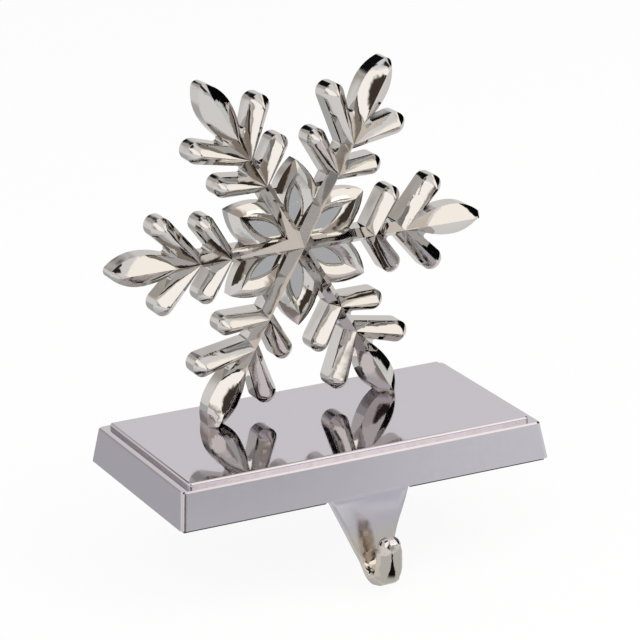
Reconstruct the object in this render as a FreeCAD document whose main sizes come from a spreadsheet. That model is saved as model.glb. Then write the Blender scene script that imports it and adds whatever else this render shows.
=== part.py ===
import FreeCAD, Part
import math
import os
import Sketcher

# Mantel stocking holder: a hollow cast base that stands on the shelf, a tab and J hook that hang
# down in front of it, and a six-armed snowflake in relief, screwed on from below.
# Frame: origin on the shelf under the middle of the base, X along the base, the hook at -Y, +Z up.

os.makedirs("parts", exist_ok=True)
doc = FreeCAD.newDocument("MantelStockingHolder")

# Driving sizes in millimetres, slopes as a run for each millimetre of rise
sizes = {
    # base casting
    "baseLength": 140.0,
    "baseDepth": 76.0,
    "ledgeHeight": 12.7,
    "endInset": 1.8,
    "frontInset": 2.6,
    "cornerRadius": 2.0,
    "ledgeEdge": 0.5,
    "ledgeEnd": 3.5,
    "ledgeFront": 2.5,
    "slabHeight": 1.8,
    "slabCornerRadius": 1.2,
    "slabEdgeRound": 0.9,
    "wallThickness": 3.4,
    "roofThickness": 3.2,
    # tab and hook
    "tabHalfWidth": 15.4,
    "tabThickness": 3.4,
    "tabLean": 0.165,
    "tabRoot": 2.0,
    "tabRootShare": 0.8,
    "thickTurn": 120.0,
    "neckHalfWidth": 5.0,
    "hookThickness": 5.8,
    "throatWidth": 7.6,
    "throatDrop": 20.4,
    "tipHalfWidth": 5.3,
    "tipDrop": 10.5,
    "tipLean": 0.14,
    "edgeRoundShare": 0.47,
    # underside pad
    "padThickness": 1.0,
    "padInset": 1.4,
    "padTabClearance": 0.6,
    # snowflake
    "flakeBack": 19.0,
    "footCut": 1.18,
    "rimHeight": 6.4,
    "ridgeRise": 4.1,
    "armReach": 70.7,
    "spineHalfWidth": 2.4,
    "neckRadius": 10.0,
    "leafHalfWidth": 5.45,
    "leafTail": 11.2,
    "leafRootRadius": 28.0,
    "leafEndRadius": 16.3,
    "innerNodeShare": 0.389,
    "innerLobeLength": 18.1,
    "innerLobeAngle": 57.0,
    "innerTipRadius": 3.65,
    "outerNodeShare": 0.5516,
    "outerLobeLength": 22.3,
    "outerLobeAngle": 47.0,
    "outerTipRadius": 3.9,
    "lobeRootHalfWidth": 2.9,
    "tipFacets": 12,
    "notchRadius": 1.0,
    # petals between the arms
    "petalReach": 30.0,
    "petalSideRadius": 22.0,
    "petalSideCentre": 12.2,
    "petalRimHeight": 4.4,
    "petalRidgeHeight": 5.9,
    "petalRidgeInset": 3.3,
    "petalFloorHeight": 4.0,
    "petalFloorInset": 6.2,
    # screws
    "screwDiameter": 3.0,
    "screwGrip": 6.5,
    "screwEndGap": 0.5,
    "screwClearance": 0.1,
    "screwHeadDiameter": 6.0,
    "screwHeadHeight": 2.2,
    "screwDriveWidth": 1.0,
    "screwDriveDepth": 1.0,
    "screwSideShift": 0.9,
    "screwDepthPlace": 4.6,
}
# Sizes that follow: the flake stands on its two lower leaves, which lean 60 degrees from level, and
# the places along an arm follow its reach
followers = {
    "slabTop": "=padThickness + ledgeHeight + slabHeight",
    "flakeHeight": "=slabTop + armReach * sin(60) - footCut",
    "leafWidest": "=armReach - leafTail",
    "innerNode": "=armReach * innerNodeShare",
    "outerNode": "=armReach * outerNodeShare",
    "screwAside": "=(flakeHeight - slabTop) / tan(60) - screwSideShift",
    "screwBack": "=flakeBack - screwDepthPlace",
}
sheet = doc.addObject("Spreadsheet::Sheet", "Sizes")
for row, (name, value) in enumerate([*sizes.items(), *followers.items()], 1):
    sheet.set("A%d" % row, name)
    sheet.set("B%d" % row, str(value))
    sheet.setAlias("B%d" % row, name)
doc.recompute()


def size(name):
    return float(sheet.get(name))


def originPlane(body, role):
    return [f for f in body.Origin.OriginFeatures if f.Role == role][0]


def newSketch(body, name, role, height):
    sketch = body.newObject("Sketcher::SketchObject", name)
    sketch.AttachmentSupport = [(originPlane(body, role), "")]
    sketch.MapMode = "FlatFace"
    sketch.setExpression("AttachmentOffset.Base.z", height)
    return sketch


def rectangle(sketch, length, width):
    # four sides centred on the origin, driven by two expressions
    halfLength, halfWidth = 60.0, 30.0
    corners = [(-1, -1), (1, -1), (1, 1), (-1, 1)]
    points = [FreeCAD.Vector(x * halfLength, y * halfWidth, 0) for x, y in corners]
    for number in range(4):
        sketch.addGeometry(Part.LineSegment(points[number], points[(number + 1) % 4]), False)
    for number in range(4):
        following = (number + 1) % 4
        sketch.addConstraint(Sketcher.Constraint("Coincident", number, 2, following, 1))
        sketch.addConstraint(Sketcher.Constraint("Vertical" if number % 2 else "Horizontal", number))
    sketch.addConstraint(Sketcher.Constraint("Symmetric", 0, 1, 2, 1, -1, 1))
    drive(sketch, Sketcher.Constraint("DistanceX", 0, 1, 0, 2, 2 * halfLength), length)
    drive(sketch, Sketcher.Constraint("DistanceY", 1, 1, 1, 2, 2 * halfWidth), width)


def drive(sketch, constraint, expression):
    index = sketch.addConstraint(constraint)
    sketch.setExpression("Constraints[%d]" % index, expression)


def taper(body, kind, name, low, high, foot, top):
    # a flat-sided block between two heights; each end is half its length and half its depth
    feature = body.newObject(kind, name)
    feature.AttachmentSupport = [(originPlane(body, "XZ_Plane"), "")]
    feature.MapMode = "FlatFace"
    feature.setExpression("Ymin", low)
    feature.setExpression("Ymax", high)
    for prefix, ends in (("", foot), ("2", top)):
        for axis, half in zip("XZ", ends):
            feature.setExpression(axis + prefix + "min", "-(%s)" % half)
            feature.setExpression(axis + prefix + "max", half)
    doc.recompute()
    return feature


def edgesWhere(shape, isWanted):
    return ["Edge%d" % number for number, edge in enumerate(shape.Edges, 1)
            if isWanted(edge.BoundBox)]


def isLevel(box, height):
    return abs(box.ZMin - height) < 1e-4 and abs(box.ZMax - height) < 1e-4


def easeEdges(body, kind, name, base, isWanted, amount):
    feature = body.newObject("PartDesign::" + kind, name)
    feature.Base = (base, edgesWhere(base.Shape, isWanted))
    feature.setExpression("Size" if kind == "Chamfer" else "Radius", amount)
    doc.recompute()
    return feature


def buildBase():
    # bevelled walls, a flat ledge and a raised slab, hollow underneath as a die casting is
    body = doc.addObject("PartDesign::Body", "base_shell")
    bottom = "Sizes.padThickness"
    ledge = bottom + " + Sizes.ledgeHeight"
    halfLength, halfDepth = "Sizes.baseLength / 2", "Sizes.baseDepth / 2"
    walls = taper(body, "PartDesign::AdditiveWedge", "walls", bottom, ledge,
                  (halfLength, halfDepth),
                  (halfLength + " - Sizes.endInset", halfDepth + " - Sizes.frontInset"))
    ledgeZ = size("padThickness") + size("ledgeHeight")
    corners = easeEdges(body, "Fillet", "wall_corners", walls,
                        lambda box: box.ZLength > size("ledgeHeight") / 2, "Sizes.cornerRadius")
    easeEdges(body, "Chamfer", "ledge_edge", corners, lambda box: isLevel(box, ledgeZ),
              "Sizes.ledgeEdge")
    slab = newSketch(body, "slab_outline", "XY_Plane", ledge)
    rectangle(slab, "Sizes.baseLength - 2 * (Sizes.endInset + Sizes.ledgeEnd)",
              "Sizes.baseDepth - 2 * (Sizes.frontInset + Sizes.ledgeFront)")
    raised = body.newObject("PartDesign::Pad", "slab")
    raised.Profile = slab
    raised.setExpression("Length", "Sizes.slabHeight")
    doc.recompute()
    slabCorners = easeEdges(body, "Fillet", "slab_corners", raised,
                            lambda box: abs(box.ZLength - size("slabHeight")) < 1e-4,
                            "Sizes.slabCornerRadius")
    softSlab = easeEdges(body, "Fillet", "slab_round", slabCorners,
                         lambda box: isLevel(box, slabTop), "Sizes.slabEdgeRound")

    inward = " - Sizes.wallThickness"
    cavity = taper(body, "PartDesign::SubtractiveWedge", "cavity", bottom,
                   "Sizes.slabTop - Sizes.roofThickness",
                   (halfLength + inward, halfDepth + inward),
                   (halfLength + inward + " - Sizes.endInset",
                    halfDepth + inward + " - Sizes.frontInset"))
    if cavity.Shape.Volume >= softSlab.Shape.Volume:
        raise RuntimeError("the cavity cuts nothing")

    holes = newSketch(body, "screw_holes", "XY_Plane", bottom)
    radius = size("screwDiameter") / 2 + size("screwClearance")
    for side in (-1, 1):
        index = holes.addGeometry(
            Part.Circle(FreeCAD.Vector(side * screwX, screwY, 0), up, radius), False)
        drive(holes, Sketcher.Constraint("Radius", index, radius),
              "Sizes.screwDiameter / 2 + Sizes.screwClearance")
    holes.addConstraint(Sketcher.Constraint("Symmetric", 0, 3, 1, 3, -2))
    drive(holes, Sketcher.Constraint("DistanceX", 0, 3, 1, 3, 2 * screwX), "2 * Sizes.screwAside")
    drive(holes, Sketcher.Constraint("DistanceY", -1, 1, 0, 3, screwY), "Sizes.screwBack")
    drilled = body.newObject("PartDesign::Pocket", "screw_hole_cuts")
    drilled.Profile = holes
    drilled.Type = "ThroughAll"
    drilled.Reversed = True
    doc.recompute()
    if drilled.Shape.Volume >= cavity.Shape.Volume:
        raise RuntimeError("the screw holes cut nothing")
    return body


def hookSection(centre, along, halfWidth, thickness):
    # a bar section across the hook, X its width, each corner eased by two flats that keep the
    # facets few
    across = FreeCAD.Vector(1, 0, 0)
    out = along.cross(across)
    out.normalize()
    corner = thickness * size("edgeRoundShare")
    inX, inT = halfWidth - corner, thickness / 2 - corner
    points = []
    for sideX, sideT, start in ((1, -1, -90), (1, 1, 0), (-1, 1, 90), (-1, -1, 180)):
        for turn in (0, 45, 90):
            x, t = onCircle((sideX * inX, sideT * inT), corner, math.radians(start + turn))
            points.append(centre + across * x + out * t)
    return Part.makePolygon(points + points[:1])


# Stations of the hook strip: shares of the drop, degrees round the bend, then each step of the
# tip as its share of the tip's length and its thickness against the hook's
tabShares = (0.0, 0.4, 0.75)
bendTurns = (0, 36, 72, 108, 144)
tipShape = ((0.35, 0.97), (0.65, 0.88), (0.85, 0.7), (0.96, 0.44), (1.0, 0.22))


def buildHook():
    # the tab runs down from the front wall, tapers, and curls forward and up into a thick round tip
    top = size("padThickness")
    lean = size("tabLean")
    front = -size("baseDepth") / 2
    throat = size("throatWidth") / 2
    tabT, hookT = size("tabThickness"), size("hookThickness")
    turnZ = top - size("throatDrop")
    turnFront = front - lean * size("throatDrop")
    turnY = turnFront - throat
    down = FreeCAD.Vector(0, -lean, -1)
    down.normalize()
    # the strip starts inside the front wall, a little behind its face
    root = size("tabRoot")
    rootY = front + tabT / 2 + root * size("frontInset") / size("ledgeHeight")
    stations = [(FreeCAD.Vector(0, rootY, top + root), down, size("tabHalfWidth"),
                 tabT * size("tabRootShare"))]

    def widthAt(z):
        share = min(1.0, (top - z) / (size("throatDrop") + throat))
        return size("tabHalfWidth") + share * (size("neckHalfWidth") - size("tabHalfWidth"))

    for share in tabShares:
        z = top - share * size("throatDrop")
        y = front - lean * (top - z) + tabT / 2
        stations.append((FreeCAD.Vector(0, y, z), down, widthAt(z), tabT))
    lastTurn = 180 - math.degrees(math.atan(size("tipLean")))
    for turn in bendTurns + (lastTurn,):
        angle = math.radians(turn)
        share = min(1.0, turn / size("thickTurn"))
        thickness = tabT + share * (hookT - tabT)
        reach = throat + thickness / 2
        y = turnY + reach * math.cos(angle)
        z = turnZ - reach * math.sin(angle)
        along = FreeCAD.Vector(0, -math.sin(angle), -math.cos(angle))
        late = max(0.0, (turn - 90) / (lastTurn - 90))
        halfWidth = widthAt(z) if turn < 90 else size("neckHalfWidth")
        halfWidth += late * (size("tipHalfWidth") - size("neckHalfWidth"))
        stations.append((FreeCAD.Vector(0, y, z), along, halfWidth, thickness))
    tipStart, tipWay = stations[-1][0], stations[-1][1]
    tipLength = (top - size("tipDrop") - tipStart.z) / tipWay.z
    for share, slim in tipShape:
        stations.append((tipStart + tipWay * (tipLength * share), tipWay,
                         size("tipHalfWidth") * slim, hookT * slim))
    sections = []
    for number, station in enumerate(stations):
        section = doc.addObject("Part::Feature", "hook_section_%d" % number)
        section.Shape = hookSection(*station)
        sections.append(section)
    hook = doc.addObject("Part::Loft", "hook_strip")
    hook.Sections = sections
    hook.Solid = True
    hook.Ruled = False
    hook.MaxDegree = 2
    return hook


def flip(point, side, height):
    return FreeCAD.Vector(point[0], side * point[1], height)


def onCircle(centre, radius, angle):
    return (centre[0] + radius * math.cos(angle), centre[1] + radius * math.sin(angle))


def lobe(curves, ridgeStops, tipX, tipRadius, tipAngle):
    # a roof over one lobe: a level ridge, a rim at one height and a pointed end over the round tip.
    # curves: the outline of the +Y side from the root to the tip circle, as (start, middle, end),
    # with no middle for a straight run. ridgeStops: X on the ridge at each end of those runs.
    rim = size("rimHeight")
    ridge = rim + size("ridgeRise")
    faces, outline = [], []
    for side in (1, -1):
        for number, (start, middle, end) in enumerate(curves):
            first, last = flip(start, side, rim), flip(end, side, rim)
            if middle is None:
                edge = Part.LineSegment(first, last).toShape()
            else:
                edge = Part.Arc(first, flip(middle, side, rim), last).toShape()
            above = Part.LineSegment(FreeCAD.Vector(ridgeStops[number], 0, ridge),
                                     FreeCAD.Vector(ridgeStops[number + 1], 0, ridge)).toShape()
            faces.append(Part.makeRuledSurface(edge, above))
            outline.append(edge)
    # the tip is a fan of flats, because a cone there meshes into far more facets
    apex = FreeCAD.Vector(tipX, 0, ridge)
    facets = int(size("tipFacets"))
    turns = [tipAngle * (2 * step / facets - 1) for step in range(facets + 1)]
    tip = [FreeCAD.Vector(*onCircle((tipX, 0), tipRadius, turn), rim) for turn in turns]
    for first, last in zip(tip, tip[1:]):
        outline.append(Part.LineSegment(first, last).toShape())
        faces.append(Part.Face(Part.makePolygon([first, last, apex, first])))
    left, right = (flip(curves[0][0], side, rim) for side in (1, -1))
    outline.append(Part.LineSegment(left, right).toShape())
    rootTop = FreeCAD.Vector(ridgeStops[0], 0, ridge)
    faces.append(Part.Face(Part.makePolygon([left, right, rootTop, left])))
    base = Part.Face(Part.Wire(Part.sortEdges(outline)[0]))
    shell = Part.Shell(faces + [base])
    shell.sewShape()
    roof = Part.Solid(shell)
    if roof.Volume < 0:
        roof.reverse()
    base.translate(FreeCAD.Vector(0, 0, -rim))
    return roof, base.extrude(FreeCAD.Vector(0, 0, rim))


def sideLobe(node, length, radius, angle):
    # straight sides from the root to the tip circle
    half = size("lobeRootHalfWidth")
    tipX = length - radius
    span = math.hypot(tipX, half)
    way = math.asin(radius / span) - math.atan2(half, tipX)
    run = math.sqrt(span ** 2 - radius ** 2)
    touch = onCircle((0, half), run, way)
    tipAngle = math.atan2(touch[1], touch[0] - tipX)
    solids = lobe([((0, half), None, touch)], [0, tipX], tipX, radius, tipAngle)
    for solid in solids:
        solid.rotate(FreeCAD.Vector(), up, angle)
        solid.translate(FreeCAD.Vector(node, 0, 0))
    return solids


def spineAndLeaf():
    # a narrow straight spine, a hollow-sided neck and a broad leaf, all under one level ridge
    half, neck = size("spineHalfWidth"), size("neckRadius")
    widest, broad = size("leafWidest"), size("leafHalfWidth")
    root, end, reach = size("leafRootRadius"), size("leafEndRadius"), size("armReach")
    rootCentre = (widest, broad - root)
    endCentre = (widest, broad - end)
    neckY = half + neck
    neckX = widest - math.sqrt((neck + root) ** 2 - (neckY - rootCentre[1]) ** 2)
    neckTurn = math.atan2(rootCentre[1] - neckY, widest - neckX)
    neckEnd = onCircle((neckX, neckY), neck, neckTurn)
    neckMiddle = onCircle((neckX, neckY), neck, (neckTurn - math.pi / 2) / 2)
    rootMiddle = onCircle(rootCentre, root, (neckTurn + math.pi + math.pi / 2) / 2)
    tail = reach - widest
    tipRadius = (end ** 2 - tail ** 2 - endCentre[1] ** 2) / (2 * (end - tail))
    tipX = reach - tipRadius
    tipTurn = math.atan2(-endCentre[1], tipX - widest)
    touch = onCircle((tipX, 0), tipRadius, tipTurn)
    endMiddle = onCircle(endCentre, end, (math.pi / 2 + tipTurn) / 2)
    curves = [((0, half), None, (neckX, half)),
              ((neckX, half), neckMiddle, neckEnd),
              (neckEnd, rootMiddle, (widest, broad)),
              ((widest, broad), endMiddle, touch)]
    return lobe(curves, [0, neckX, neckEnd[0], widest, tipX], tipX, tipRadius, tipTurn)


def petalDisc(side, steps):
    # stacked round steps about one side's centre, each (height from, height to, inset from, inset to)
    radius = size("petalSideRadius")
    offset = math.sqrt(radius ** 2 - (size("petalReach") - size("petalSideCentre")) ** 2)
    centre = FreeCAD.Vector(size("petalSideCentre"), side * offset, 0)
    solid = None
    for low, high, insetLow, insetHigh in steps:
        foot = centre + up * low
        if insetLow == insetHigh:
            step = Part.makeCylinder(radius - insetLow, high - low, foot, up)
        else:
            step = Part.makeCone(radius - insetLow, radius - insetHigh, high - low, foot, up)
        solid = step if solid is None else solid.fuse(step)
    return solid


def petal():
    # a pointed arch between two arms: it slopes up to a sharp inner line, then down to a flat floor
    rim, ridge, floor = size("petalRimHeight"), size("petalRidgeHeight"), size("petalFloorHeight")
    inset, floorInset = size("petalRidgeInset"), size("petalFloorInset")
    body = [(0, rim, 0, 0), (rim, ridge, 0, inset)]
    flare = (floorInset - inset) / (ridge - floor)
    above = size("rimHeight") + size("ridgeRise")
    hollow = [(floor, above, floorInset, floorInset - flare * (above - floor))]
    arch = petalDisc(1, body).common(petalDisc(-1, body))
    dish = petalDisc(1, hollow).common(petalDisc(-1, hollow))
    far = 2 * size("petalReach")
    spread = far * math.tan(math.radians(30))
    corners = [FreeCAD.Vector(), FreeCAD.Vector(far, -spread, 0), FreeCAD.Vector(far, spread, 0)]
    sector = Part.Face(Part.makePolygon(corners + corners[:1])).extrude(up * above)
    solid = arch.cut(dish).common(sector)
    solid.rotate(FreeCAD.Vector(), up, 30)
    return solid


def aroundHub(solid):
    copies = []
    for arm in range(6):
        turned = solid.copy()
        turned.rotate(FreeCAD.Vector(), up, 60 * arm)
        copies.append(turned)
    return copies[0].fuse(copies[1:])


def notchEdges(walls, rim):
    # upright inside corners of full height, where two lobes meet
    found = []
    for edge in walls.Edges:
        box = edge.BoundBox
        if box.XLength > 1e-4 or box.YLength > 1e-4 or abs(box.ZLength - rim) > 1e-4:
            continue
        first, second = walls.ancestorsOfType(edge, Part.Face)
        middle = edge.CenterOfMass
        normals = [face.normalAt(*face.Surface.parameter(middle)) for face in (first, second)]
        turn = normals[0].cross(normals[1]).Length
        opensOut = (second.CenterOfMass - middle).dot(normals[0]) > 0
        radius = math.hypot(middle.x, middle.y)
        if turn > 0.2 and opensOut and radius > size("innerNode"):
            found.append(edge)
    return found


def buildSnowflake():
    # six arms and six petals in one casting: a flat back, upright walls and a faceted front
    arms = [spineAndLeaf()]
    for place in ("inner", "outer"):
        for side in (1, -1):
            arms.append(sideLobe(size(place + "Node"), size(place + "LobeLength"),
                                 size(place + "TipRadius"), side * size(place + "LobeAngle")))
    roofs = aroundHub(arms[0][0].fuse([roof for roof, wall in arms[1:]]))
    walls = aroundHub(arms[0][1].fuse([wall for roof, wall in arms[1:]])).removeSplitter()
    walls = walls.makeFillet(size("notchRadius"), notchEdges(walls, size("rimHeight")))
    relief = walls.fuse([aroundHub(petal()), roofs]).removeSplitter()
    stand = FreeCAD.Placement(FreeCAD.Vector(0, size("flakeBack"), size("flakeHeight")),
                              FreeCAD.Rotation(FreeCAD.Vector(1, 0, 0), 90))
    relief.Placement = stand
    # the two lower leaves are cut flat where they stand on the slab, and drilled for the screws
    far = size("baseLength")
    below = Part.makeBox(2 * far, 2 * far, far, FreeCAD.Vector(-far, -far, slabTop - far))
    relief = relief.cut(below)
    for side in (-1, 1):
        hole = Part.makeCylinder(size("screwDiameter") / 2 + size("screwClearance"),
                                 size("screwGrip") + size("screwEndGap"),
                                 FreeCAD.Vector(side * screwX, screwY, slabTop))
        relief = relief.cut(hole)
    casting = doc.addObject("Part::Feature", "snowflake")
    casting.Shape = relief
    return casting


def buildScrew(side):
    # cheese head with a slot, its shank up through the roof of the base into the leaf above
    name = "screw_left" if side < 0 else "screw_right"
    head = doc.addObject("Part::Cylinder", name + "_head")
    head.setExpression("Radius", "Sizes.screwHeadDiameter / 2")
    head.setExpression("Height", "Sizes.screwHeadHeight")
    shank = doc.addObject("Part::Cylinder", name + "_shank")
    shank.setExpression("Radius", "Sizes.screwDiameter / 2")
    shank.setExpression("Height", "Sizes.screwHeadHeight + Sizes.roofThickness + Sizes.screwGrip")
    slot = doc.addObject("Part::Box", name + "_slot")
    slot.setExpression("Length", "Sizes.screwHeadDiameter * 2")
    slot.setExpression("Width", "Sizes.screwDriveWidth")
    slot.setExpression("Height", "Sizes.screwDriveDepth")
    slot.setExpression("Placement.Base.x", "-Sizes.screwHeadDiameter")
    slot.setExpression("Placement.Base.y", "-Sizes.screwDriveWidth / 2")
    whole = doc.addObject("Part::Fuse", name + "_blank")
    whole.Base, whole.Tool = head, shank
    slotted = doc.addObject("Part::Cut", name)
    slotted.Base, slotted.Tool = whole, slot
    slotted.setExpression("Placement.Base.x", "%d * Sizes.screwAside" % side)
    slotted.setExpression("Placement.Base.y", "Sizes.screwBack")
    slotted.setExpression("Placement.Base.z",
                          "Sizes.slabTop - Sizes.roofThickness - Sizes.screwHeadHeight")
    return slotted


def buildPad():
    # a thin soft sheet under the rim of the base, notched round the back of the tab
    body = doc.addObject("PartDesign::Body", "pad_sheet")
    outline = newSketch(body, "pad_outline", "XY_Plane", "0")
    rectangle(outline, "Sizes.baseLength - 2 * Sizes.padInset",
              "Sizes.baseDepth - 2 * Sizes.padInset")
    soft = body.newObject("PartDesign::Pad", "soft_sheet")
    soft.Profile = outline
    soft.setExpression("Length", "Sizes.padThickness")
    notch = doc.addObject("Part::Box", "tab_notch")
    notch.setExpression("Length", "2 * (Sizes.tabHalfWidth + Sizes.padTabClearance)")
    notch.setExpression("Width", "2 * (Sizes.tabThickness + Sizes.padTabClearance)")
    notch.setExpression("Height", "3 * Sizes.padThickness")
    notch.setExpression("Placement.Base.x", "-Sizes.tabHalfWidth - Sizes.padTabClearance")
    notch.setExpression("Placement.Base.y",
                        "-Sizes.baseDepth / 2 - Sizes.tabThickness - Sizes.padTabClearance")
    notch.setExpression("Placement.Base.z", "-Sizes.padThickness")
    cut = doc.addObject("Part::Cut", "base_pad")
    cut.Base, cut.Tool = body, notch
    return cut


up = FreeCAD.Vector(0, 0, 1)
slabTop, screwX, screwY = size("slabTop"), size("screwAside"), size("screwBack")

base =doc.addObject("Part::Fuse", "base_casting")
base.Base, base.Tool = buildBase(), buildHook()
flake = buildSnowflake()
screws = doc.addObject("Part::Compound", "snowflake_screws")
screws.Links = [buildScrew(-1), buildScrew(1)]
pad = buildPad()
doc.recompute()

for item in doc.Objects:
    if "Invalid" in item.State or "Error" in item.State:
        raise RuntimeError("%s failed: %s" % (item.Name, item.State))
for item in (base, flake, screws, pad):
    shape = item.Shape
    if shape.isNull() or not shape.isValid():
        raise RuntimeError("%s has no valid shape" % item.Name)
    item.Label = item.Name
    shape.exportStep("parts/%s.step" % item.Name)
    print(item.Name, "solids", len(shape.Solids), "volume", round(shape.Volume, 1))
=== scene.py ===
import math
import bmesh
import bpy
import numpy as np
from mathutils import Matrix, Vector


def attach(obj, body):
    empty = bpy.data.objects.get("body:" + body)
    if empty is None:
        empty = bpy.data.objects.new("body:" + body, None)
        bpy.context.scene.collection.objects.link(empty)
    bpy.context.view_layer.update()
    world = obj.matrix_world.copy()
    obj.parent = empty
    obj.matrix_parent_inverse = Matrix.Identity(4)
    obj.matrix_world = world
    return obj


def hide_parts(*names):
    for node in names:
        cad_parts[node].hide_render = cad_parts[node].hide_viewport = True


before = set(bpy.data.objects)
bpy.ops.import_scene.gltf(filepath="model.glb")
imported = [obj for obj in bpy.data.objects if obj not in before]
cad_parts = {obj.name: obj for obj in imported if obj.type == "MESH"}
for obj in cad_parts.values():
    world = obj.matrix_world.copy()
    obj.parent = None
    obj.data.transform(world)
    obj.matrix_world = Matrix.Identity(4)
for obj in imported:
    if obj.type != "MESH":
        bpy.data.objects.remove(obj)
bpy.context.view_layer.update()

# Mantel stocking holder: nickel plated castings with a snowflake in relief, on a thin rubber pad.
# Everything is in metres, in the frame of the CAD: the shelf top is z = 0 and the hook is at -y.

mm = 0.001


def deselectAll():
    if bpy.context.object and bpy.context.object.mode != "OBJECT":
        bpy.ops.object.mode_set(mode="OBJECT")
    bpy.ops.object.select_all(action="DESELECT")


def useOnly(piece):
    deselectAll()
    piece.select_set(True)
    bpy.context.view_layer.objects.active = piece


def linear(hexColour):
    # sRGB hex to the linear values that Blender's sockets take
    parts = [int(hexColour[i:i + 2], 16) / 255 for i in (1, 3, 5)]
    return tuple(c / 12.92 if c <= 0.04045 else ((c + 0.055) / 1.055) ** 2.4 for c in parts) + (1,)


# Camera: where the photograph was taken from
view = {"azimuth": -26.5, "elevation": 18.97, "roll": -1.0, "distance": 1.18367,
        "right": 0.14 * mm, "up": 48.09 * mm, "base": 1.0 * mm, "lens": 191.74, "sensor": 36,
        "nearest": 0.05}


def addCamera():
    azimuth, elevation, roll = (math.radians(view[k]) for k in ("azimuth", "elevation", "roll"))
    back = Vector((math.sin(azimuth) * math.cos(elevation),
                   -math.cos(azimuth) * math.cos(elevation), math.sin(elevation)))
    level = Vector((math.cos(azimuth), math.sin(azimuth), 0))
    above = back.cross(level)
    right = level * math.cos(roll) + above * math.sin(roll)
    up = above * math.cos(roll) - level * math.sin(roll)
    place = back * view["distance"] + right * view["right"] + up * view["up"]
    place.z += view["base"]
    bpy.ops.object.camera_add()
    camera = bpy.context.object
    camera.name = "photoCamera"
    camera.matrix_world = Matrix((right, up, back)).transposed().to_4x4()
    camera.location = place
    camera.data.lens = view["lens"]
    camera.data.sensor_width = view["sensor"]
    camera.data.clip_start = view["nearest"]
    bpy.context.scene.camera = camera


addCamera()
print("camera placed")


def addNode(nodes, kind, inputs=(), **settings):
    # one node with its settings; inputs is {socket: value or another node's output}
    node = nodes.new(kind)
    for name, value in settings.items():
        setattr(node, name, value)
    for socket, value in dict(inputs).items():
        if isinstance(value, bpy.types.NodeSocket):
            node.id_data.links.new(value, node.inputs[socket])
        else:
            node.inputs[socket].default_value = value
    return node


def newMaterial(name):
    material = bpy.data.materials.new(name)
    material.use_nodes = True
    nodes = material.node_tree.nodes
    nodes.clear()
    return material, nodes


# Plating: bright nickel over polished die castings, a warm grey on the flake and a faintly mauve
# one on the base; lower down the hook the tint turns warmer, a painted reflection of warm tones.
# The polish leaves a slow waviness that bends what it mirrors, and fine haze.
nickel = {"baseColour": "#c9c4cb", "hookReflectionTint": "#cdc5bc", "flakeColour": "#cbc8c5",
          "edge": "#e6e4e2", "waveWidth": 9 * mm, "waveDetail": 1.0, "waveGrain": 0.4,
          "flakeWave": 0.16 * mm, "baseWave": 0.01 * mm, "flakeShift": 30 * mm,
          "baseShift": 400 * mm, "hazeWidth": 2.5 * mm, "hazeDetail": 3.0, "clear": 0.3,
          "hazy": 0.75, "roughness": 0.05, "clearShare": 0.6, "hazyShare": 1.6, "satin": 0.13,
          "leaning": 0.45, "upright": 0.25, "throatFront": -45 * mm, "throatBack": -43 * mm,
          "reflectionTintTop": -8 * mm, "reflectionTintLow": -15 * mm}


def polishedNickel(name, colour, waveDepth, shift, satin=False):
    material, nodes = newMaterial(name)
    place = addNode(nodes, "ShaderNodeTexCoord").outputs["Object"]
    shifted = addNode(nodes, "ShaderNodeMapping",
                      {"Vector": place, "Location": (shift, shift * 2, 0)})
    wave = addNode(nodes, "ShaderNodeTexNoise",
                   {"Vector": shifted.outputs[0], "Scale": 1 / nickel["waveWidth"],
                    "Detail": nickel["waveDetail"], "Roughness": nickel["waveGrain"]})
    bump = addNode(nodes, "ShaderNodeBump", {"Height": wave.outputs[0], "Distance": waveDepth})
    haze = addNode(nodes, "ShaderNodeTexNoise",
                   {"Vector": shifted.outputs[0], "Scale": 1 / nickel["hazeWidth"],
                    "Detail": nickel["hazeDetail"]})
    rough = addNode(nodes, "ShaderNodeMapRange",
                    {"Value": haze.outputs[0], "From Min": nickel["clear"],
                     "From Max": nickel["hazy"],
                     "To Min": nickel["roughness"] * nickel["clearShare"],
                     "To Max": nickel["roughness"] * nickel["hazyShare"]})
    tint = linear(colour)
    if satin:
        # upright faces behind the hook's throat are satin, and the hook is tinted warmer lower down as
        # a painted reflection of warm tones
        slope = addNode(nodes, "ShaderNodeSeparateXYZ",
                        {0: addNode(nodes, "ShaderNodeNewGeometry").outputs["Normal"]})
        spot = addNode(nodes, "ShaderNodeSeparateXYZ", {0: place})
        upright = addNode(nodes, "ShaderNodeMapRange",
                          {"Value": slope.outputs["Z"], "From Min": nickel["leaning"],
                           "From Max": nickel["upright"]})
        behind = addNode(nodes, "ShaderNodeMapRange",
                         {"Value": spot.outputs["Y"], "From Min": nickel["throatFront"],
                          "From Max": nickel["throatBack"]})
        both = addNode(nodes, "ShaderNodeMath", {0: upright.outputs[0], 1: behind.outputs[0]},
                       operation="MULTIPLY")
        rough = addNode(nodes, "ShaderNodeMath",
                        {0: both.outputs[0], 1: nickel["satin"], 2: rough.outputs[0]},
                        operation="MULTIPLY_ADD")
        # painted reflection: the base tint turns into the warmer hook tint going down the hook
        reflectionTintShare = addNode(nodes, "ShaderNodeMapRange",
                      {"Value": spot.outputs["Z"], "From Min": nickel["reflectionTintTop"],
                       "From Max": nickel["reflectionTintLow"]})
        tint = addNode(nodes, "ShaderNodeMix",
                       {0: reflectionTintShare.outputs[0], 6: tint, 7: linear(nickel["hookReflectionTint"])},
                       data_type="RGBA").outputs[2]
    shader = addNode(nodes, "ShaderNodeBsdfPrincipled",
                     {"Base Color": tint, "Metallic": 1.0,
                      "Roughness": rough.outputs[0], "Normal": bump.outputs[0],
                      "Specular Tint": linear(nickel["edge"])})
    addNode(nodes, "ShaderNodeOutputMaterial", {"Surface": shader.outputs[0]})
    return material


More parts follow.
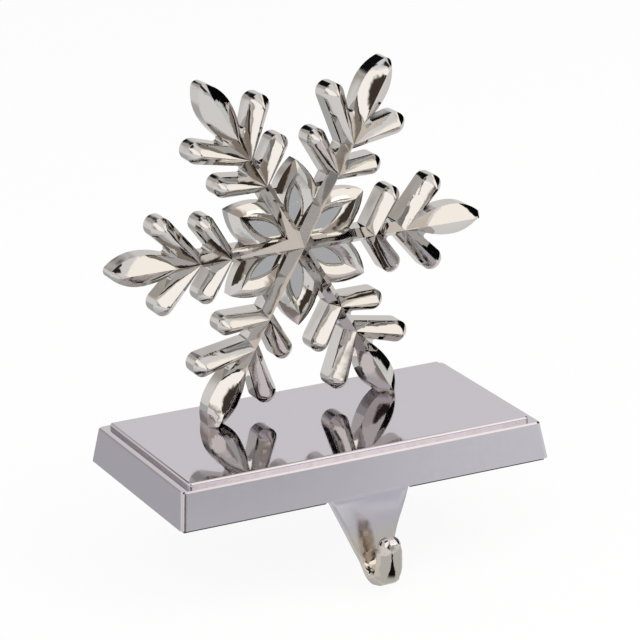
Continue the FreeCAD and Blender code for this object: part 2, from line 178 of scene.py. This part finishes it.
# Pad: black cellular rubber, matte, with a fine open grain
rubber = {"dark": "#191919", "light": "#222222", "roughness": 0.85, "grain": 0.4 * mm,
          "grainDetail": 2.0, "grainDepth": 0.1 * mm}


def blackRubber():
    material, nodes = newMaterial("blackFoamRubber")
    place = addNode(nodes, "ShaderNodeTexCoord").outputs["Object"]
    grain = addNode(nodes, "ShaderNodeTexNoise",
                    {"Vector": place, "Scale": 1 / rubber["grain"],
                     "Detail": rubber["grainDetail"]})
    bump = addNode(nodes, "ShaderNodeBump",
                   {"Height": grain.outputs[0], "Distance": rubber["grainDepth"]})
    tint = addNode(nodes, "ShaderNodeMapRange",
                   {"Value": grain.outputs[0], "To Min": linear(rubber["dark"])[0],
                    "To Max": linear(rubber["light"])[0]})
    shader = addNode(nodes, "ShaderNodeBsdfPrincipled",
                     {"Base Color": tint.outputs[0], "Roughness": rubber["roughness"],
                      "Normal": bump.outputs[0]})
    addNode(nodes, "ShaderNodeOutputMaterial", {"Surface": shader.outputs[0]})
    return material


# Screws: zinc plated steel, turned, so duller than the castings
steel = {"colour": "#b9bcc0", "marks": 0.6 * mm, "brightest": 0.25, "dullest": 0.42}


def zincPlatedSteel():
    material, nodes = newMaterial("zincPlatedSteel")
    place = addNode(nodes, "ShaderNodeTexCoord").outputs["Object"]
    marks = addNode(nodes, "ShaderNodeTexNoise", {"Vector": place, "Scale": 1 / steel["marks"]})
    rough = addNode(nodes, "ShaderNodeMapRange",
                    {"Value": marks.outputs[0], "To Min": steel["brightest"],
                     "To Max": steel["dullest"]})
    shader = addNode(nodes, "ShaderNodeBsdfPrincipled",
                     {"Base Color": linear(steel["colour"]), "Metallic": 1.0,
                      "Roughness": rough.outputs[0]})
    addNode(nodes, "ShaderNodeOutputMaterial", {"Surface": shader.outputs[0]})
    return material


def dressNode(name, material):
    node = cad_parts[name]
    for slot in node.material_slots:
        slot.material = material


# Castings: copies of the CAD forms, cleaned, with the marks of casting and polishing added
casting = {"merge": 0.01 * mm, "flat": 0.4, "smooth": 28, "bevelSteps": 2}


def castingCopy(name, nodeName, material):
    # stands in for its CAD node, and is left in edit mode to be shaped
    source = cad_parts[nodeName]
    piece = source.copy()
    piece.data = source.data.copy()
    piece.name = name
    bpy.context.scene.collection.objects.link(piece)
    useOnly(piece)
    bpy.ops.mesh.customdata_custom_splitnormals_clear()
    piece.data.materials.clear()
    piece.data.materials.append(material)
    for polygon in piece.data.polygons:
        polygon.material_index = 0
    bpy.ops.object.mode_set(mode="EDIT")
    bpy.ops.mesh.select_all(action="SELECT")
    bpy.ops.mesh.remove_doubles(threshold=casting["merge"])
    bpy.ops.mesh.mark_sharp(clear=True)
    bpy.ops.mesh.dissolve_limited(angle_limit=math.radians(casting["flat"]))
    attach(piece, "root")
    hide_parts(nodeName)
    return piece


def smoothShading(piece, group=""):
    # smooth across small folds, with each broad face keeping its own direction up to its bevels
    bpy.ops.object.mode_set(mode="OBJECT")
    bpy.ops.object.shade_smooth_by_angle(angle=math.radians(casting["smooth"]))
    broad = piece.modifiers.new("broadFaces", "WEIGHTED_NORMAL")
    broad.keep_sharp = broad.use_face_influence = True
    broad.vertex_group = group
    return broad


def bevelEdges(piece, isWanted, width, slot=0):
    # bevels the edges that isWanted picks; slot is the new faces' material slot
    bpy.ops.mesh.select_all(action="DESELECT")
    mesh = bmesh.from_edit_mesh(piece.data)
    for edge in mesh.edges:
        edge.select_set(isWanted(edge))
    mesh.select_flush_mode()
    bmesh.update_edit_mesh(piece.data)
    bpy.ops.mesh.bevel(offset=width, segments=casting["bevelSteps"], clamp_overlap=False,
                       material=slot, face_strength_mode="NEW")


# Snowflake: polishing eases its outward edges, and its faces swell a little between their edges
flake = {"edgeAngle": 33, "ease": 0.28 * mm, "backMargin": 0.6 * mm, "footMargin": 0.2 * mm,
         "floorHeight": 4.0 * mm, "floorFacing": -0.99, "stepWidth": 0.45 * mm,
         "stepDepth": 0.5 * mm, "front": -0.55, "patchAngle": 20, "fine": 0.85 * mm,
         "halvings": 6, "flatFold": 0.01, "sliver": 1e-4 * mm * mm, "leastArea": 1e-14,
         "leastPull": 0.02, "mostPull": 8, "bulge": 0.1 / mm, "bulgeReach": 2.6 * mm,
         "passes": 300}


def outwardEdge(piece):
    # sharp outward edges, away from the flat back and from the feet's flat cuts
    back = max(v.co.y for v in piece.data.vertices) - flake["backMargin"]
    foot = min(v.co.z for v in piece.data.vertices) + flake["footMargin"]

    def isOutward(edge):
        sharp = edge.is_convex and edge.calc_face_angle(0) > math.radians(flake["edgeAngle"])
        return sharp and all(v.co.y < back and v.co.z > foot for v in edge.verts)
    return isOutward


def sinkFloors(piece):
    # the floor of each petal sits a step lower than the slope round it
    level = max(v.co.y for v in piece.data.vertices) - flake["floorHeight"]
    bpy.ops.mesh.select_all(action="DESELECT")
    mesh = bmesh.from_edit_mesh(piece.data)
    for face in mesh.faces:
        flat = (face.normal.y < flake["floorFacing"]
                and abs(face.calc_center_median().y - level) < casting["merge"])
        face.select_set(flat)
        # slot 1 keeps a face from swelling
        face.material_index = int(flat)
    bmesh.update_edit_mesh(piece.data)
    bpy.ops.mesh.inset(thickness=flake["stepWidth"], depth=-flake["stepDepth"])


def refine(mesh, length):
    # halves the long edges of the front faces, and evens out the triangles between the halvings
    for step in range(flake["halvings"]):
        longEdges = [e for e in mesh.edges if e.calc_length() > length
                     and any(f.normal.y < flake["front"] for f in e.link_faces)]
        bmesh.ops.subdivide_edges(mesh, edges=longEdges, cuts=1)
        bmesh.ops.triangulate(mesh, faces=mesh.faces[:])
        flat = [e for e in mesh.edges if e.smooth and e.calc_face_angle(1) < flake["flatFold"]]
        bmesh.ops.beautify_fill(mesh, faces=mesh.faces[:], edges=flat, method="ANGLE")
        print("halving", step, "edges", len(longEdges), "faces", len(mesh.faces))


def dropDoubledFaces(mesh):
    # halving can leave two faces back to back on the same points, which enclose nothing
    mesh.verts.index_update()
    groups = {}
    for face in mesh.faces:
        groups.setdefault(tuple(sorted(v.index for v in face.verts)), []).append(face)
    doubled = [face for group in groups.values() for face in group[:len(group) // 2 * 2]]
    bmesh.ops.delete(mesh, geom=doubled, context="FACES")
    print("doubled faces dropped:", len(doubled))


def swellFaces(piece):
    # lifts the inside of each smooth patch as a stretched film rises, with its borders kept
    mesh = bmesh.new()
    mesh.from_mesh(piece.data)
    for edge in mesh.edges:
        edge.smooth = edge.calc_face_angle(math.pi) < math.radians(flake["patchAngle"])
    bmesh.ops.triangulate(mesh, faces=mesh.faces[:])
    refine(mesh, flake["fine"])
    dropDoubledFaces(mesh)
    mesh.normal_update()
    mesh.verts.index_update()
    # slivers have no sure direction, so they hold no point back
    swells = [f.calc_area() < flake["sliver"] or
              (f.material_index == 0 and f.normal.y < flake["front"]) for f in mesh.faces]
    mesh.faces.index_update()
    free = np.array([all(e.smooth for e in v.link_edges) and all(swells[f.index] for f in v.link_faces)
                     for v in mesh.verts])
    places = np.array([v.co[:] for v in mesh.verts])
    corners = np.array([[v.index for v in f.verts] for f in mesh.faces])
    points = places[corners]
    across, along = points[:, 1] - points[:, 0], points[:, 2] - points[:, 0]
    area = np.linalg.norm(np.cross(across, along), axis=1) / 2
    share = np.bincount(corners.ravel(), np.repeat(area / 3, 3), len(free))
    first, second, pull = [], [], []
    # the two ends of an edge pull on each other by the cotangents of the angles opposite it
    for k in range(3):
        here, left, right = corners[:, k], corners[:, (k + 1) % 3], corners[:, (k + 2) % 3]
        a, b = places[left] - places[here], places[right] - places[here]
        cot = (a * b).sum(1) / np.maximum(2 * area, flake["leastArea"])
        cot = np.clip(cot, flake["leastPull"], flake["mostPull"]) / 2
        first += [left, right]
        second += [right, left]
        pull += [cot, cot]
    first, second, pull = (np.concatenate(part) for part in (first, second, pull))
    total = np.bincount(first, pull, len(free)) + share / flake["bulgeReach"] ** 2
    rise = np.zeros(len(free))
    for _ in range(flake["passes"]):
        around = np.bincount(first, pull * rise[second], len(free))
        rise = np.where(free, (around + flake["bulge"] * share) / total, 0)
    lifts = [v.normal * float(up) for v, up in zip(mesh.verts, rise)]
    for vertex, lift in zip(mesh.verts, lifts):
        vertex.co += lift
    for face in mesh.faces:
        face.material_index = 0
    mesh.to_mesh(piece.data)
    mesh.free()
    print("flake swells up to", round(float(rise.max()) / mm, 3), "mm over", len(free), "points")


flakePiece = castingCopy("snowflakeCasting", "snowflake",
                         polishedNickel("polishedNickelFlake", nickel["flakeColour"],
                                        nickel["flakeWave"], nickel["flakeShift"]))
sinkFloors(flakePiece)
bevelEdges(flakePiece, outwardEdge(flakePiece), flake["ease"], 1)
bpy.ops.object.mode_set(mode="OBJECT")
swellFaces(flakePiece)
bpy.ops.object.modifier_apply(modifier=smoothShading(flakePiece).name)


# Base and hook: mirror polish on the slab, a satin polish on the walls and the tab
hook = {"top": -1.0 * mm, "smooth": 62, "tipBack": -50.5 * mm, "halfWidth": 5.3 * mm,
        "crown": 1.4 * mm, "bend": -25 * mm, "tipTop": -9.5 * mm, "lean": 1.4 * mm, "polish": 6,
        "polishFactor": 0.5, "columns": [x * mm for x in (-2.8, -1.4, 0, 1.4, 2.8)],
        "rows": [z * mm for z in (-24, -21, -18, -15, -12)]}


def cutHook(piece, place, normal):
    # a line of new points across the hook, in the plane through place
    mesh = bmesh.from_edit_mesh(piece.data)
    bpy.ops.mesh.select_all(action="DESELECT")
    for face in mesh.faces:
        face.select_set(face.calc_center_median().z < hook["top"])
    bmesh.update_edit_mesh(piece.data)
    bpy.ops.mesh.bisect(plane_co=place, plane_no=normal)


def roundHook(piece):
    # crowns the front of the tip both ways; the walls and the slab stay flat, and the hook below
    # them is smooth all over
    for x in hook["columns"]:
        cutHook(piece, (x, 0, 0), (1, 0, 0))
    for z in hook["rows"]:
        cutHook(piece, (0, 0, z), (0, 0, 1))
    mesh = bmesh.from_edit_mesh(piece.data)
    front = min(v.co.y for v in mesh.verts)
    for vertex in mesh.verts:
        vertex.select_set(vertex.co.y < hook["tipBack"] and vertex.co.z < hook["top"])
    mesh.select_flush_mode()
    for vertex in mesh.verts:
        if vertex.select:
            climb = max(0, vertex.co.z - hook["bend"]) / (hook["tipTop"] - hook["bend"])
            vertex.co.y += (hook["crown"] * (vertex.co.x / hook["halfWidth"]) ** 2
                            + hook["lean"] * climb ** 2)
    bmesh.update_edit_mesh(piece.data)
    bpy.ops.mesh.vertices_smooth(factor=hook["polishFactor"], repeat=hook["polish"])
    # the smoothing draws the tip back, so it is stretched forward again to where the CAD has it
    mesh = bmesh.from_edit_mesh(piece.data)
    drawn = min(v.co.y for v in mesh.verts)
    stretch = (hook["tipBack"] - front) / (hook["tipBack"] - drawn)
    for vertex in mesh.verts:
        if vertex.co.y < hook["tipBack"] and vertex.co.z < hook["top"]:
            vertex.co.y = hook["tipBack"] + (vertex.co.y - hook["tipBack"]) * stretch
    bmesh.update_edit_mesh(piece.data)
    flat = piece.vertex_groups.new(name="flat")
    bpy.ops.object.mode_set(mode="OBJECT")
    flat.add([v.index for v in piece.data.vertices if v.co.z > hook["top"]], 1.0, "REPLACE")
    broad = smoothShading(piece, flat.name)
    mesh = bmesh.new()
    mesh.from_mesh(piece.data)
    for edge in mesh.edges:
        if all(v.co.z < hook["top"] for v in edge.verts):
            edge.smooth = edge.calc_face_angle(math.pi) < math.radians(hook["smooth"])
    mesh.to_mesh(piece.data)
    mesh.free()
    bpy.ops.object.modifier_apply(modifier=broad.name)


basePiece = castingCopy("baseCasting", "base_casting",
                        polishedNickel("polishedNickelBase", nickel["baseColour"],
                                       nickel["baseWave"], nickel["baseShift"], satin=True))
roundHook(basePiece)
dressNode("snowflake_screws", zincPlatedSteel())
dressNode("base_pad", blackRubber())
print("castings eased and plated")


# Studio: a white sweep, soft boxes as area lamps, and pale and dark cards that the metal mirrors
studio = {"floor": -31 * mm, "floorSize": 6, "floorColour": "#fafafa", "floorGlow": 0.92,
          "white": (1, 1, 1, 1), "room": "#c9c7cb", "aim": 70 * mm, "distance": 1.1,
          "boxDistance": 1.2, "fade": 0.35, "boxFade": 0.3, "sheet": -30.5 * mm,
          "streak": -30.2 * mm}


def seenDirectly(nodes):
    # 1 where the camera sees something, straight or in metal or glass, and 0 for light on the object
    path = addNode(nodes, "ShaderNodeLightPath")
    seen = path.outputs["Is Camera Ray"]
    for ray in ("Is Glossy Ray", "Is Transmission Ray"):
        seen = addNode(nodes, "ShaderNodeMath", {0: seen, 1: path.outputs[ray]},
                       operation="MAXIMUM").outputs[0]
    return seen


def addFloor():
    bpy.ops.mesh.primitive_plane_add(size=studio["floorSize"], location=(0, 0, studio["floor"]))
    floor = bpy.context.object
    floor.name = "studioFloor"
    material, nodes = newMaterial("whiteSweep")
    share = addNode(nodes, "ShaderNodeMath", {0: seenDirectly(nodes), 1: studio["floorGlow"]},
                    operation="MULTIPLY")
    paint = addNode(nodes, "ShaderNodeBsdfDiffuse", {"Color": linear(studio["floorColour"])})
    glow = addNode(nodes, "ShaderNodeEmission", {"Color": studio["white"], "Strength": 1.0})
    mix = addNode(nodes, "ShaderNodeMixShader",
                  {0: share.outputs[0], 1: paint.outputs[0], 2: glow.outputs[0]})
    addNode(nodes, "ShaderNodeOutputMaterial", {"Surface": mix.outputs[0]})
    floor.data.materials.append(material)


def facing(azimuth, elevation, distance):
    # a place and a turn towards the flake; azimuth 0 is the front, positive to the right
    a, e = math.radians(azimuth), math.radians(elevation)
    way = Vector((math.sin(a) * math.cos(e), -math.cos(a) * math.cos(e), math.sin(e)))
    return way * distance + Vector((0, 0, studio["aim"])), way.to_track_quat("Z", "Y").to_euler()


def span(distance, degrees):
    # the width that fills an angle at a distance
    return 2 * distance * math.tan(math.radians(degrees / 2))


def paperCard(name, place, turn, wide, high, colour, level, soft):
    # a card that only the metal sees; its colour is what the metal mirrors, and it fades out
    # towards its edge over a share of its half size
    bpy.ops.mesh.primitive_plane_add(size=2, location=place, rotation=turn)
    card = bpy.context.object
    card.name = name
    card.scale = (wide / 2, high / 2, 1)
    material, nodes = newMaterial(name + "Paper")
    across = addNode(nodes, "ShaderNodeSeparateXYZ",
                     {0: addNode(nodes, "ShaderNodeTexCoord").outputs["Object"]})
    fades = []
    for axis in "XY":
        away = addNode(nodes, "ShaderNodeMath", {0: across.outputs[axis]}, operation="ABSOLUTE")
        fades.append(addNode(nodes, "ShaderNodeMapRange",
                             {"Value": away.outputs[0], "From Min": 1.0, "From Max": 1.0 - soft},
                             interpolation_type="SMOOTHSTEP").outputs[0])
    cover = addNode(nodes, "ShaderNodeMath", {0: fades[0], 1: fades[1]}, operation="MULTIPLY")
    clear = addNode(nodes, "ShaderNodeBsdfTransparent")
    glow = addNode(nodes, "ShaderNodeEmission", {"Color": linear(colour), "Strength": level})
    mix = addNode(nodes, "ShaderNodeMixShader",
                  {0: cover.outputs[0], 1: clear.outputs[0], 2: glow.outputs[0]})
    addNode(nodes, "ShaderNodeOutputMaterial", {"Surface": mix.outputs[0]})
    card.data.materials.append(material)
    card.visible_camera = card.visible_shadow = card.visible_diffuse = False


def addCard(name, azimuth, elevation, wide, high, colour, level=1.0, distance=studio["distance"],
            soft=studio["fade"]):
    # a card that faces the flake, as wide and high as its angles
    place, turn = facing(azimuth, elevation, distance)
    paperCard(name, place, turn, span(distance, wide), span(distance, high), colour, level, soft)


def addSoftBox(name, azimuth, elevation, wide, high, colour, level):
    # the lamp lights what is matt, and a bright card in its place is what the metal mirrors
    distance = studio["boxDistance"]
    place, turn = facing(azimuth, elevation, distance)
    bpy.ops.object.light_add(type="AREA", location=place, rotation=turn)
    lamp = bpy.context.object
    lamp.name = name
    lamp.visible_glossy = False
    lamp.data.shape = "RECTANGLE"
    lamp.data.size, lamp.data.size_y = span(distance, wide), span(distance, high)
    lamp.data.energy = level * math.pi * lamp.data.size * lamp.data.size_y
    lamp.data.color = linear(colour)[:3]
    addCard(name + "Front", azimuth, elevation, wide, high, colour, level, distance,
            studio["boxFade"])


def addSheet(name, x, y, wide, long, colour, soft, height=studio["sheet"], turn=0):
    # a card that lies just over the floor, where the hook and the petals mirror it
    paperCard(name, (x, y, height), (0, 0, math.radians(turn)), wide, long, colour, 1.0, soft)


def addWorld():
    world = bpy.data.worlds.new("studio")
    bpy.context.scene.world = world
    world.use_nodes = True
    nodes = world.node_tree.nodes
    nodes.clear()
    room = addNode(nodes, "ShaderNodeBackground", {"Color": linear(studio["room"]), "Strength": 1.0})
    white = addNode(nodes, "ShaderNodeBackground", {"Color": studio["white"], "Strength": 1.0})
    mix = addNode(nodes, "ShaderNodeMixShader",
                  {0: seenDirectly(nodes), 1: room.outputs[0], 2: white.outputs[0]})
    addNode(nodes, "ShaderNodeOutputWorld", {"Surface": mix.outputs[0]})


addFloor()
addWorld()
# azimuth, elevation, degrees wide and high, colour; then level, distance and soft edge
addSoftBox("leftSoftBox", -56, 28, 38, 60, "#fffcf8", 1.5)
addSoftBox("frontSoftBox", 48, 40, 66, 62, "#fff9f1", 1.5)
addCard("roomCard", -10, 10, 140, 100, "#c0b6ac", 1.0, 2.4)
addCard("frontCard", 16, 2, 56, 30, "#b8bcbc", 1.0, 1.3)
addCard("brightCard", 54, 0, 66, 30, "#eef4f2", 1.0, 1.15, 0.2)
addCard("edgeCard", 26, 18, 16, 9, "#fffdf2", 2.6, 1.0)
addCard("lensCard", -27, 12, 30, 50, "#4a4038", 1.0, 1.5)
addCard("rightFlag", 106, 16, 46, 70, "#0c0c0e", soft=0.2)
addCard("highCard", 110, 68, 44, 24, "#f4ebdf")
addCard("rearFlag", 176, 38, 60, 22, "#161518")
addCard("farLeftFlag", -90, 60, 26, 36, "#332e2a")
addCard("farLeftCard", -90, 26, 26, 24, "#f2e8da")
addCard("backCard", -174, 2, 50, 60, "#c4beb8")
# x, y, wide, long, colour and soft edge; then height and degrees turned
addSheet("hookSheet", 18 * mm, -84 * mm, 220 * mm, 140 * mm, "#d6dada", 0.5)
addSheet("cornerSheet", -200 * mm, 200 * mm, 500 * mm, 500 * mm, "#cdd0d1", 0.4)
addSheet("petalSheet", 150 * mm, -310 * mm, 340 * mm, 340 * mm, "#ced2d8", 0.4)
addSheet("hookStreak", 10.2 * mm, -92.5 * mm, 9.5 * mm, 80 * mm, "#1a1613", 0.15,
         studio["streak"], 196)
bpy.context.scene.view_settings.view_transform = "Standard"
print("studio lit")
